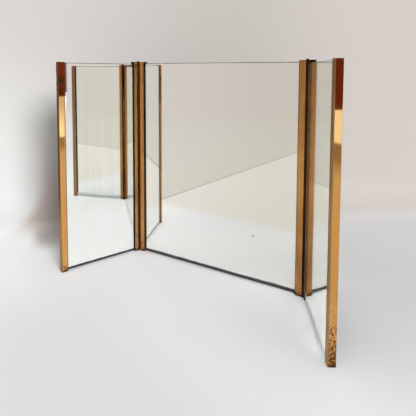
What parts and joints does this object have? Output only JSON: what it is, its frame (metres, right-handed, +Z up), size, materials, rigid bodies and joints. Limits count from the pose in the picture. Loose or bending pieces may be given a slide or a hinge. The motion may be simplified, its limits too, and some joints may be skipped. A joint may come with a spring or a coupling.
{
  "type": "trifold vanity mirror",
  "caption": "Free-standing trifold mirror: wide middle panel and two narrow wings, upright edges held in brass channels and joined by full-height hinges.",
  "frame": {"origin": "on the floor, under the middle of the bounding box as the mirror stands", "axes": "+X to the right of a person who faces the mirror, -Y out of the middle panel's glass, +Z up"},
  "size_m": [0.578, 0.1844, 0.4524],
  "materials": {
    "clear_glass": "polished float glass with ground top and foot edges",
    "silvering": "silvered back of the glass under paint",
    "board_black": "black painted hardboard",
    "channel_brass": "worn polish with brown age spots",
    "liner_black": "thin black felt strip",
    "hinge_brass": "dark, unpolished",
    "rivet_brass": "dull",
    "pin_steel": "blackened"
  },
  "bodies": {
    "centre": {"centre_glass": "clear_glass", "centre_silvering": "silvering", "centre_board": "board_black", "centre_channel_left": "channel_brass", "centre_channel_right": "channel_brass", "centre_liner_left": "liner_black", "centre_liner_right": "liner_black", "centre_leaf_left": "hinge_brass", "centre_leaf_right": "hinge_brass", "centre_rivets_left": "rivet_brass", "centre_rivets_right": "rivet_brass", "hinge_pin_left": "pin_steel", "hinge_pin_right": "pin_steel"},
    "left_wing": {"left_glass": "clear_glass", "left_silvering": "silvering", "left_board": "board_black", "left_channel_outer": "channel_brass", "left_channel_inner": "channel_brass", "left_liner_outer": "liner_black", "left_liner_inner": "liner_black", "left_leaf": "hinge_brass", "left_rivets": "rivet_brass"},
    "right_wing": {"right_glass": "clear_glass", "right_silvering": "silvering", "right_board": "board_black", "right_channel_outer": "channel_brass", "right_channel_inner": "channel_brass", "right_liner_outer": "liner_black", "right_liner_inner": "liner_black", "right_leaf": "hinge_brass", "right_rivets": "rivet_brass"}
  },
  "joints": [
    {"name": "left_hinge", "type": "hinge", "parent": "centre", "child": "left_wing", "pos_m": [-0.20914, 0.07867, 0.225], "axis": [0, 0, 1], "range_deg": [-80.5, 111.5]},
    {"name": "right_hinge", "type": "hinge", "parent": "centre", "child": "right_wing", "pos_m": [0.19086, 0.07867, 0.225], "axis": [0, 0, -1], "range_deg": [-74, 118]}
  ]
}
